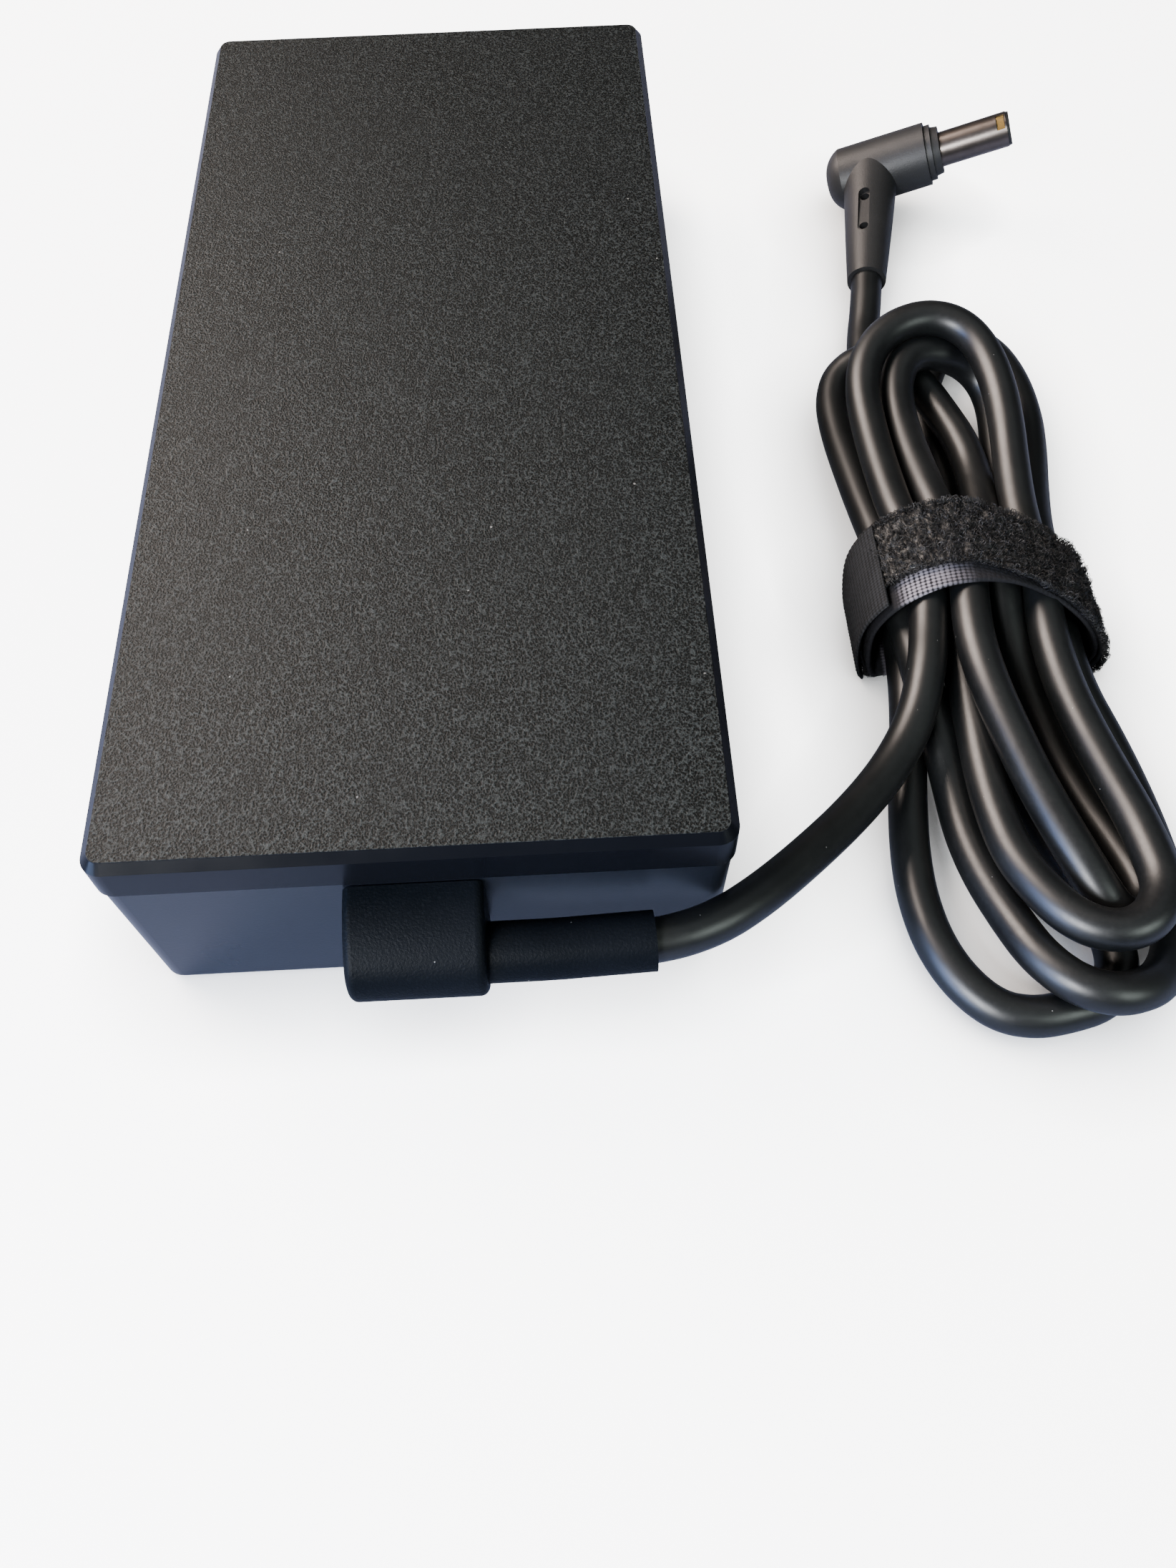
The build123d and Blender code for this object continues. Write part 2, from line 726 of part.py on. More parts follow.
with BuildPart() as bulk_capacitor:
    with BuildSketch(Plane.XZ.offset(11.5)):
        with Locations((-17.0, board_top + 9.4)):
            Circle(9.0)
    extrude(amount=-35.0)
    fillet(bulk_capacitor.edges().filter_by(GeomType.CIRCLE), 0.8)
    with BuildSketch(Plane.XZ.offset(11.5)):
        with Locations((-17.0, board_top + 9.4)):
            Rectangle(8.0, 0.4)
            Rectangle(0.4, 8.0)
    extrude(amount=-0.5, mode=Mode.SUBTRACT)
pieces["bulk_capacitor"] = bulk_capacitor

with BuildPart() as resonant_capacitor:
    with BuildSketch(Plane.XY.offset(board_top)):
        with Locations((6.0, -5.0)):
            Rectangle(18.0, 8.0)
    extrude(amount=14.0)
    fillet(resonant_capacitor.edges().filter_by(Axis.Z), 0.6)
pieces["resonant_capacitor"] = resonant_capacitor


# ---------------------------------------------------------------- wound parts with E cores
def e_core(x, y, width, depth, height, leg, window):
    """A ferrite core with a middle leg and a window on each side of it."""
    yoke = 3.0
    with BuildPart() as core:
        with place(x, y, board_top + 0.6 + height / 2):
            Box(width, depth, height)
        for side in (-1, 1):
            with place(x + side * (leg + window) / 2, y, board_top + 0.6 + height / 2):
                Box(window, depth, height - 2 * yoke, mode=Mode.SUBTRACT)
        fillet(core.edges().filter_by(Axis.Y).group_by(Axis.Z)[-1], 0.5)
    return core


def leg_ring(x, y, leg, depth, inner, thickness, bottom, top):
    """A rectangular ring round the middle leg of a core."""
    with BuildPart() as ring:
        with BuildSketch(Plane.XY.offset(bottom)):
            with Locations((x, y)):
                RectangleRounded(leg + 2 * (inner + thickness), depth + 2 * (inner + thickness), 1.0)
                Rectangle(leg + 2 * inner, depth + 2 * inner, mode=Mode.SUBTRACT)
        extrude(amount=top - bottom)
    return ring


pfc_place = (8.0, 18.0)
pfc_core = e_core(*pfc_place, 24.0, 14.0, 17.0, 8.0, 5.0)
pieces["pfc_core"] = pfc_core
pfc_winding = leg_ring(*pfc_place, 8.0, 14.0, 0.3, 4.4, board_top + 3.9, board_top + 14.3)
pieces["pfc_winding"] = pfc_winding

transformer_place = (0.0, -27.0)
transformer_core = e_core(*transformer_place, 32.0, 18.0, 18.0, 11.0, 6.5)
pieces["transformer_core"] = transformer_core
spool_bottom = board_top + 3.8
spool_top = board_top + 15.4
with BuildPart() as transformer_bobbin:
    add(leg_ring(*transformer_place, 11.0, 18.0, 0.2, 0.8, spool_bottom, spool_top).part)
    add(leg_ring(*transformer_place, 11.0, 18.0, 0.2, 6.0, spool_bottom, spool_bottom + 0.8).part)
    add(leg_ring(*transformer_place, 11.0, 18.0, 0.2, 6.0, spool_top - 0.8, spool_top).part)
pieces["transformer_bobbin"] = transformer_bobbin
transformer_winding = leg_ring(*transformer_place, 11.0, 18.0, 1.1, 4.6, spool_bottom + 0.9, spool_top - 0.9)
pieces["transformer_winding"] = transformer_winding

# ---------------------------------------------------------------- output side of the board
with BuildPart() as output_capacitors:
    with BuildSketch(Plane.XY.offset(board_top)):
        with Locations((-13.0, -47.0), (-3.5, -47.0), (6.0, -47.0), (-13.0, -57.0), (-3.5, -57.0)):
            Circle(4.1)
    extrude(amount=15.0)
    fillet(output_capacitors.edges().filter_by(GeomType.CIRCLE), 0.5)
pieces["output_capacitors"] = output_capacitors

output_choke_sizes = (17.5, -53.0, 7.5, 3.9, 7.0, board_top + 1.3)
output_choke_core = ring_core(*output_choke_sizes)
pieces["output_choke_core"] = output_choke_core
output_choke_winding = ring_winding(*output_choke_sizes, 6, 140, 1.0)
pieces["output_choke_winding"] = output_choke_winding

with BuildPart() as optocouplers:
    for chip_y in (-22.0, -33.0):
        with place(22.0, chip_y, board_top + 2.2):
            Box(6.4, 4.6, 3.4)
        for leg_x in (18.3, 25.7):
            for leg_y in (-1.27, 1.27):
                with place(leg_x, chip_y + leg_y, board_top + 1.2):
                    Box(1.0, 0.6, 2.4)
pieces["optocouplers"] = optocouplers

with BuildPart() as control_chips:
    for chip_x, chip_y in ((19.5, -6.0), (-6.0, 8.0), (-22.0, -21.0), (5.0, -60.5)):
        with place(chip_x, chip_y, board_top + 0.85):
            Box(5.0, 4.0, 1.5)
pieces["control_chips"] = control_chips

# ---------------------------------------------------------------- wires
wire_radius = 0.8
wire_points = {
    "positive_wire": [(2.0, -70.2, 17.0), (2.0, -67.2, 17.0), (2.0, -65.0, 14.4), (2.0, -65.0, board_top)],
    "negative_wire": [(-3.0, -70.2, 17.0), (-3.0, -67.2, 17.0), (-3.0, -65.0, 14.4), (-3.0, -65.0, board_top)],
    "line_wire": [(-7.0, pin_tail, 10.2), (-7.0, 53.9, 10.2), (-7.0, 52.7, 9.2), (-7.0, 52.7, board_top)],
    "neutral_wire": [(7.0, pin_tail, 10.2), (7.0, 53.9, 10.2), (7.0, 52.7, 9.2), (7.0, 52.7, board_top)],
    "earth_wire": [(0.0, pin_tail, 14.2), (0.0, 54.0, 14.2), (0.0, 52.2, 12.6), (0.0, 52.2, board_top)],
}
for wire_name, points in wire_points.items():
    pieces[wire_name] = cord_tube(points, wire_radius)

# ---------------------------------------------------------------- labels and files
for node_name, piece in pieces.items():
    piece.part.label = node_name
    export_step(piece.part, f"parts/{node_name}.step")

for route_name, route in (("output lead", lead_points), ("plug lead", plug_lead_points)):
    print(route_name, "radii", [round(radius, 1) for radius in bend_radii(route)])
print(len(pieces), "nodes")
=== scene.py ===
"""Laptop power adapter: materials, the cord in its hank, the hook-and-loop tie, light and camera."""

import math
import random

import bmesh
import bpy
import numpy as np
from mathutils import Matrix, Vector, noise


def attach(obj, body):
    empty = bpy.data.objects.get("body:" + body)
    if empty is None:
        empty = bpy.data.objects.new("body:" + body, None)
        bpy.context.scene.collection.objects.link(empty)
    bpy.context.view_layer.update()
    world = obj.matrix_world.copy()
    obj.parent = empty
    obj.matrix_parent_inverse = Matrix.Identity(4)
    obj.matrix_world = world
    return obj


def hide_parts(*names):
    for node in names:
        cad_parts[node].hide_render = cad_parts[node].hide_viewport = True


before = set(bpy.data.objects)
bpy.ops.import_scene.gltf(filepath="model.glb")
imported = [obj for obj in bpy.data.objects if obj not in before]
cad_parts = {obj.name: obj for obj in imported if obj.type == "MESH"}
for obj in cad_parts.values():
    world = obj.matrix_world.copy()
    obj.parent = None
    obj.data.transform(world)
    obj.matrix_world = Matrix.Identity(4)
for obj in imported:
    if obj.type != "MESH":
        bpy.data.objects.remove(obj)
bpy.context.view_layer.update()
scene = bpy.context.scene
MM = 0.001

# ---------------------------------------------------------------- camera, light and floor
camera = bpy.data.objects.new("camera", bpy.data.cameras.new("camera"))
scene.collection.objects.link(camera)
right = Vector((0.99867, -0.04941, -0.01473))
down = Vector((-0.04993, -0.85559, -0.51524))
forward = Vector((0.01285, 0.51529, -0.85692))
pose = Matrix((right, -down, -forward)).transposed().to_4x4()
pose.translation = Vector((16.78, -137.96, 147.04)) * MM
camera.matrix_world = pose
camera.data.sensor_fit = "VERTICAL"
camera.data.sensor_height = 36.0
camera.data.lens = 30.03
camera.data.clip_start = 0.005
scene.camera = camera

TARGET = Vector((20, -5, 10)) * MM


def softbox(name, direction, distance, size, power, colour):
    """An area light that faces the object from a direction."""
    light = bpy.data.lights.new(name, "AREA")
    light.shape = "RECTANGLE"
    light.size, light.size_y = size
    light.energy = power
    light.color = colour
    lamp = bpy.data.objects.new(name, light)
    scene.collection.objects.link(lamp)
    aim = Vector(direction).normalized()
    lamp.location = TARGET + aim * distance
    lamp.rotation_euler = (-aim).to_track_quat("-Z", "Y").to_euler()


softbox("warm_window", (-0.62, 0.44, 0.60), 0.62, (0.36, 0.40), 12.0, (1.0, 0.85, 0.75))
softbox("cool_window", (-0.85, -0.62, 0.10), 0.55, (0.26, 0.16), 2.2, (0.42, 0.58, 1.0))
softbox("sky_window", (-0.80, -0.40, 0.44), 0.50, (0.14, 0.16), 1.8, (0.26, 0.44, 1.0))
softbox("near_left", (-0.44, -0.70, 0.52), 0.36, (0.12, 0.12), 2.6, (0.96, 0.98, 1.0))
softbox("near_right", (0.60, -0.62, 0.50), 0.38, (0.14, 0.14), 0.5, (0.88, 1.0, 0.94))
softbox("ceiling", (0.34, 0.18, 1.0), 1.00, (0.8, 0.9), 0.9, (0.90, 1.0, 0.98))

world = bpy.data.worlds.new("studio")
world.use_nodes = True
world.node_tree.nodes["Background"].inputs["Color"].default_value = (0.92, 0.96, 1.0, 1)
world.node_tree.nodes["Background"].inputs["Strength"].default_value = 0.07
scene.world = world


# ---------------------------------------------------------------- materials
class Nodes:
    """A short way to build one material's node tree."""

    def __init__(self, name):
        self.material = bpy.data.materials.new(name)
        self.material.use_nodes = True
        self.tree = self.material.node_tree
        self.shader = self.tree.nodes["Principled BSDF"]
        self.place = self.add("ShaderNodeTexCoord").outputs["Object"]

    def add(self, kind, **values):
        node = self.tree.nodes.new(kind)
        for key, value in values.items():
            setattr(node, key, value)
        return node

    def link(self, source, target):
        self.tree.links.new(source, target)

    def feed(self, node, key, value):
        """Sets a socket, or links it when value is a socket."""
        if isinstance(value, bpy.types.NodeSocket):
            self.link(value, node.inputs[key])
        elif value is not None:
            node.inputs[key].default_value = value

    def math(self, operation, a, b=None, c=None):
        node = self.add("ShaderNodeMath", operation=operation)
        for index, value in enumerate((a, b, c)):
            self.feed(node, index, value)
        return node.outputs[0]

    def noise(self, size, detail=3.0, roughness=0.55, distortion=0.0, stretch=None):
        """Noise whose features are about size millimetres."""
        node = self.add("ShaderNodeTexNoise")
        node.inputs["Scale"].default_value = 1.0 / (size * MM)
        node.inputs["Detail"].default_value = detail
        node.inputs["Roughness"].default_value = roughness
        node.inputs["Distortion"].default_value = distortion
        if stretch:
            mapping = self.add("ShaderNodeMapping")
            mapping.inputs["Scale"].default_value = stretch
            self.link(self.place, mapping.inputs["Vector"])
            self.link(mapping.outputs[0], node.inputs["Vector"])
        else:
            self.link(self.place, node.inputs["Vector"])
        return node.outputs["Fac"]

    def cells(self, size, feature="F1"):
        node = self.add("ShaderNodeTexVoronoi", feature=feature)
        node.inputs["Scale"].default_value = 1.0 / (size * MM)
        self.link(self.place, node.inputs["Vector"])
        return node

    def span(self, value, low, high, start=0.0, end=1.0):
        """Remaps low..high to start..end, clamped."""
        node = self.add("ShaderNodeMapRange")
        for key, number in (("From Min", low), ("From Max", high), ("To Min", start), ("To Max", end)):
            node.inputs[key].default_value = number
        self.link(value, node.inputs["Value"])
        return node.outputs["Result"]

    def blend(self, share, a, b):
        """A colour between a and b."""
        node = self.add("ShaderNodeMix", data_type="RGBA")
        self.feed(node, "Factor", share)
        sockets = [s for s in node.inputs if s.type == "RGBA"]
        for socket, value in zip(sockets, (a, b)):
            if isinstance(value, bpy.types.NodeSocket):
                self.link(value, socket)
            else:
                socket.default_value = (*value, 1.0)
        return [s for s in node.outputs if s.type == "RGBA"][0]

    def between(self, share, a, b):
        """A number between a and b."""
        node = self.add("ShaderNodeMix", data_type="FLOAT")
        self.feed(node, "Factor", share)
        sockets = [s for s in node.inputs if s.type == "VALUE" and s.name in ("A", "B")]
        for socket, value in zip(sockets, (a, b)):
            if isinstance(value, bpy.types.NodeSocket):
                self.link(value, socket)
            else:
                socket.default_value = value
        return [s for s in node.outputs if s.type == "VALUE"][0]

    def bump(self, height, depth, strength=1.0, under=None):
        """A bump of depth millimetres."""
        node = self.add("ShaderNodeBump")
        node.inputs["Distance"].default_value = depth * MM
        node.inputs["Strength"].default_value = strength
        self.link(height, node.inputs["Height"])
        if under is not None:
            self.link(under, node.inputs["Normal"])
        return node.outputs["Normal"]

    def height_above(self, low, high, axis="Z"):
        """0 at low millimetres along an axis of the row frame, 1 at high. High may be the smaller number."""
        split = self.add("ShaderNodeSeparateXYZ")
        self.link(self.place, split.inputs[0])
        return self.span(split.outputs[axis], low * MM, high * MM)

    def specks(self, size, share, radius=0.16):
        """A mask of scattered small dots, such as dust: share is how many cells hold one."""
        cell = self.cells(size)
        here = self.math("LESS_THAN", cell.outputs["Distance"], radius)
        pick = self.add("ShaderNodeSeparateColor")
        self.link(cell.outputs["Color"], pick.inputs[0])
        chosen = self.math("LESS_THAN", pick.outputs[0], share)
        return self.math("MULTIPLY", here, chosen)

    def finish(self, colour, roughness, normal=None, metallic=0.0, specular=0.5):
        """Sets the shader's own sockets. The colour is always a linked one."""
        self.link(colour, self.shader.inputs["Base Color"])
        self.feed(self.shader, "Roughness", roughness)
        if normal is not None:
            self.link(normal, self.shader.inputs["Normal"])
        self.shader.inputs["Metallic"].default_value = metallic
        self.shader.inputs["Specular IOR Level"].default_value = specular
        self.shader.inputs["IOR"].default_value = 1.5
        return self.material


def case_top():
    """Grained matt flat on top, and a glossy bevel and rim. The flat starts just under the cover's top."""
    n = Nodes("case_top")
    flat = n.height_above(29.93, 29.97)
    fine = n.noise(0.19, 2.0, 0.7)
    broad = n.noise(30.0, 3.0, 0.5)
    pits = n.cells(0.30).outputs["Distance"]
    grain = n.math("ADD", n.math("MULTIPLY", fine, 0.8), n.math("MULTIPLY", pits, 0.45))
    dust = n.math("MULTIPLY", n.specks(2.9, 0.10, 0.05), flat)
    flat_colour = n.blend(n.span(grain, 0.56, 0.84), (0.0005, 0.0008, 0.0008), (0.032, 0.0365, 0.0365))
    flat_colour = n.blend(n.span(broad, 0.3, 0.7, 0.0, 0.25), flat_colour, (0.007, 0.0085, 0.0085))
    colour = n.blend(flat, (0.003, 0.0035, 0.005), flat_colour)
    colour = n.blend(n.math("MULTIPLY", dust, 0.6), colour, (0.25, 0.25, 0.24))
    matt = n.span(broad, 0.3, 0.7, 0.38, 0.43)
    gloss = n.span(n.noise(9.0), 0.3, 0.7, 0.20, 0.27)
    rough = n.between(flat, gloss, matt)
    depth = n.math("MULTIPLY", grain, flat)
    normal = n.bump(depth, 0.11, 1.0, n.bump(n.noise(1.1, 2.0), 0.002, 0.6))
    return n.finish(colour, rough, normal, specular=0.12)


def moulded(name, colour, light, rough, grain=0.3, depth=0.02, specular=0.5, patch=14.0, dust=0.0):
    """Moulded plastic or rubber: an even grain, slow colour and gloss changes, and a little dust."""
    n = Nodes(name)
    fine = n.noise(grain, 2.5, 0.6)
    slow = n.noise(patch, 3.0)
    tint = n.blend(n.span(slow, 0.3, 0.72), colour, light)
    tint = n.blend(n.span(fine, 0.55, 0.8, 0.0, 0.35), tint, tuple(min(1.0, c * 1.7 + 0.004) for c in light))
    if dust:
        tint = n.blend(n.math("MULTIPLY", n.specks(1.6, dust, 0.05), 0.7), tint, (0.32, 0.32, 0.31))
    gloss = n.span(slow, 0.25, 0.75, rough - 0.04, rough + 0.05)
    return n.finish(tint, gloss, n.bump(fine, depth), specular=specular)


def cord_jacket():
    """Satin PVC: faint extrusion waviness, fine scuffs and a few specks of dust."""
    n = Nodes("cord_jacket")
    slow = n.noise(7.0, 3.0)
    scuff = n.noise(0.5, 4.0, 0.7, 0.6)
    tint = n.blend(n.span(slow, 0.3, 0.7), (0.0014, 0.0018, 0.0022), (0.0030, 0.0036, 0.0038))
    dust = n.math("MULTIPLY", n.specks(1.3, 0.10, 0.05), 0.55)
    tint = n.blend(dust, tint, (0.33, 0.33, 0.33))
    rough = n.math("ADD", n.span(scuff, 0.45, 0.75, 0.39, 0.46), n.span(slow, 0.3, 0.7, -0.02, 0.03))
    normal = n.bump(n.noise(0.22, 2.0), 0.004, 1.0, n.bump(n.noise(5.0, 2.0), 0.05, 1.0))
    return n.finish(tint, rough, normal, specular=0.58)


def metal(name, colour, dark, rough, brushed=(1, 1, 1)):
    """Plated or brushed metal."""
    n = Nodes(name)
    streak = n.noise(0.5, 3.0, 0.6, stretch=brushed)
    tint = n.blend(n.span(n.noise(3.0), 0.3, 0.75), colour, dark)
    gloss = n.span(streak, 0.3, 0.7, rough - 0.02, rough + 0.03)
    return n.finish(tint, gloss, metallic=1.0)


def wound(name, colour, dark, pitch, axis, rough=0.35, metallic=0.0):
    """Turns of wire or tape, as fine ridges across an axis, with painted shade in the grooves between turns."""
    n = Nodes(name)
    split = n.add("ShaderNodeSeparateXYZ")
    n.link(n.place, split.inputs[0])
    phase = n.math("MULTIPLY", split.outputs[axis], math.pi / (pitch * MM))
    ridge = n.math("ABSOLUTE", n.math("SINE", phase))
    # Colour follows the ridges and is darker in the grooves: this is painted shade, with random wear mixed in.
    groove_shade_and_wear = n.math("ADD", ridge, n.span(n.noise(2.0), 0.3, 0.7, -0.2, 0.2))
    tint = n.blend(n.span(groove_shade_and_wear, 0.1, 0.9), dark, colour)
    gloss = n.span(n.noise(1.5), 0.3, 0.7, rough - 0.05, rough + 0.08)
    return n.finish(tint, gloss, n.bump(ridge, 0.08), metallic=metallic)


def laminate():
    """Green board with copper tracks under the mask and pale solder spots."""
    n = Nodes("board_laminate")
    tracks = n.cells(6.0, "DISTANCE_TO_EDGE").outputs["Distance"]
    line = n.span(tracks, 0.03, 0.06)
    weave_fine = n.noise(0.4, 2.0)
    base = n.blend(n.span(weave_fine, 0.3, 0.7), (0.010, 0.060, 0.026), (0.014, 0.078, 0.034))
    tint = n.blend(line, (0.035, 0.16, 0.06), base)
    tint = n.blend(n.specks(2.6, 0.25, 0.22), tint, (0.55, 0.55, 0.52))
    return n.finish(tint, n.span(weave_fine, 0.3, 0.7, 0.28, 0.36), n.bump(line, 0.03))


def woven(name, dark, light, pitch, depth, painted_shade_x=None):
    """Plain-woven tape: warp and weft bumps from the mesh's own millimetre map.
    The last argument holds two pairs of x places for painted shade: the tape goes from dark to pale from the
    first of a pair to the second, darker at the right where it turns from the light and at the left inside the
    ring."""
    n = Nodes(name)
    uv = n.add("ShaderNodeUVMap").outputs[0]
    split = n.add("ShaderNodeSeparateXYZ")
    n.link(uv, split.inputs[0])
    wave_u = n.math("SINE", n.math("MULTIPLY", split.outputs["X"], math.tau / pitch))
    wave_v = n.math("SINE", n.math("MULTIPLY", split.outputs["Y"], math.tau / (pitch * 0.8)))
    crowns = n.math("ADD", n.math("ABSOLUTE", wave_u), n.math("ABSOLUTE", wave_v))
    height = n.math("SUBTRACT", crowns, 1.0)
    wear = n.noise(2.4, 4.0)
    share = n.span(n.math("ADD", height, n.span(wear, 0.3, 0.7, -0.25, 0.3)), -0.25, 0.75)
    # Painted shade: the tape's colour is darkened beyond the given x places, towards both ends of the strip.
    if painted_shade_x:
        share = n.math("MULTIPLY", share, n.height_above(*painted_shade_x[:2], axis="X"))
        share = n.math("MULTIPLY", share, n.height_above(*painted_shade_x[2:], axis="X"))
    tint = n.blend(share, dark, light)
    fuzzy = n.bump(n.noise(0.12, 2.0), 0.03)
    return n.finish(tint, 0.82, n.bump(height, depth, 1.0, fuzzy), specular=0.3)


def pile(name, dark, light):
    """Nylon loop fibres: each fibre has its own tone."""
    n = Nodes(name)
    tone = n.add("ShaderNodeAttribute", attribute_name="tone").outputs["Fac"]
    tint = n.blend(tone, dark, light)
    soft = n.noise(0.5)
    return n.finish(tint, n.span(soft, 0.3, 0.7, 0.42, 0.62), specular=0.5)


def dress(material, *nodes):
    for name in nodes:
        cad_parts[name].data.materials.clear()
        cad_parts[name].data.materials.append(material)


dress(case_top(), "top_cover")
dress(
    moulded("case_lower", (0.004, 0.005, 0.008), (0.006, 0.0075, 0.011), 0.30, 0.35, 0.006, 0.32, 30.0),
    "bottom_case",
)
dress(
    moulded("boot_rubber", (0.0015, 0.0022, 0.0032), (0.0032, 0.0042, 0.006), 0.46, 0.30, 0.06, 0.05, dust=0.10),
    "cable_boot",
)
dress(
    moulded("plug_plastic", (0.012, 0.012, 0.0125), (0.018, 0.018, 0.0185), 0.46, 0.22, 0.03, specular=0.42),
    "plug_overmould", "plug_collar",
)
dress(metal("barrel_nickel", (0.21, 0.18, 0.165), (0.16, 0.14, 0.125), 0.30), "plug_barrel")
dress(
    moulded("plug_insulator", (0.010, 0.010, 0.010), (0.016, 0.016, 0.016), 0.35, 0.2, 0.01),
    "plug_insulator",
)
dress(
    metal("contact_gold", (0.83, 0.58, 0.22), (0.66, 0.44, 0.15), 0.24),
    "plug_spring_contact", "plug_inner_contact",
)

dress(moulded("inlet_plastic", (0.006, 0.006, 0.007), (0.010, 0.010, 0.011), 0.34, 0.3, 0.01), "inlet_shell")
dress(
    metal("pin_brass", (0.70, 0.66, 0.56), (0.55, 0.50, 0.40), 0.24),
    "inlet_line_pin", "inlet_neutral_pin", "inlet_earth_pin",
)
dress(
    moulded("label_film", (0.045, 0.046, 0.048), (0.060, 0.061, 0.063), 0.38, 1.2, 0.004, patch=22.0),
    "rating_label",
)
dress(laminate(), "circuit_board")
dress(metal("screw_steel", (0.55, 0.54, 0.52), (0.38, 0.37, 0.36), 0.30), "board_screws", "heat_sink_screws")
dress(
    metal("spreader_aluminium", (0.72, 0.73, 0.74), (0.60, 0.61, 0.62), 0.36, (1, 0.05, 1)),
    "lower_heat_spreader", "upper_heat_spreader", "primary_heat_sink", "output_heat_sink",
)
dress(
    moulded("insulation_film", (0.62, 0.55, 0.30), (0.70, 0.63, 0.38), 0.30, 2.0, 0.003),
    "insulation_sheet",
)
dress(moulded("pad_silicone", (0.30, 0.33, 0.40), (0.36, 0.39, 0.46), 0.75, 0.4, 0.03), "thermal_pads")
dress(
    moulded("device_epoxy", (0.010, 0.010, 0.011), (0.018, 0.018, 0.019), 0.55, 0.15, 0.015),
    "bridge_rectifier", "pfc_transistor", "pfc_diode", "output_rectifiers", "optocouplers", "control_chips",
)
dress(moulded("fuse_body", (0.62, 0.60, 0.52), (0.72, 0.70, 0.64), 0.32, 0.5, 0.004), "mains_fuse")
dress(moulded("varistor_coat", (0.02, 0.08, 0.30), (0.03, 0.11, 0.38), 0.36, 0.6, 0.02), "surge_varistor")
dress(
    moulded("film_box", (0.62, 0.40, 0.05), (0.72, 0.48, 0.08), 0.42, 0.5, 0.008),
    "x_capacitors", "resonant_capacitor",
)
dress(moulded("disc_coat", (0.04, 0.20, 0.42), (0.06, 0.26, 0.50), 0.40, 0.6, 0.02), "y_capacitors")
dress(
    moulded("ferrite", (0.022, 0.022, 0.024), (0.035, 0.035, 0.037), 0.55, 0.2, 0.02),
    "common_mode_core", "output_choke_core", "pfc_core", "transformer_core",
)
dress(
    wound("enamel_wire", (0.62, 0.24, 0.08), (0.30, 0.09, 0.03), 0.5, "Z", 0.28, 0.8),
    "common_mode_winding", "output_choke_winding", "pfc_winding",
)
dress(wound("winding_tape", (0.66, 0.50, 0.08), (0.40, 0.28, 0.04), 2.2, "Z", 0.38), "transformer_winding")
dress(
    moulded("capacitor_sleeve", (0.012, 0.014, 0.020), (0.020, 0.022, 0.030), 0.30, 1.5, 0.004),
    "bulk_capacitor", "output_capacitors",
)
dress(
    moulded("bobbin_plastic", (0.018, 0.017, 0.016), (0.028, 0.027, 0.025), 0.48, 0.3, 0.01),
    "transformer_bobbin",
)
WIRES = {
    "positive_wire": (0.42, 0.012, 0.010),
    "negative_wire": (0.010, 0.010, 0.010),
    "line_wire": (0.13, 0.045, 0.015),
    "neutral_wire": (0.015, 0.06, 0.36),
    "earth_wire": (0.05, 0.26, 0.03),
}
for wire, tint in WIRES.items():
    lighter = tuple(channel * 1.25 + 0.004 for channel in tint)
    dress(moulded(wire + "_jacket", tint, lighter, 0.40, 0.5, 0.006), wire)

# ---------------------------------------------------------------- the cord
lead_points = [
    (18.0, -80.3, 17.0),
    (24.5, -80.2, 17.0),
    (31.5, -78.3, 16.6),
    (37.2, -74.4, 15.3),
    (43.6, -68.6, 13.0),
    (50.6, -61.6, 10.6),
    (56.4, -54.9, 9.6),
    (60.4, -48.6, 10.6),
    (62.4, -42.4, 12.2),
    (63.8, -36.4, 12.2),
]
plug_lead_points = [
    (66.6, 26.2, 2.6),
    (67.5, 31.2, 2.6),
    (68.6, 36.1, 3.4),
    (69.6, 42.0, 4.1),
]
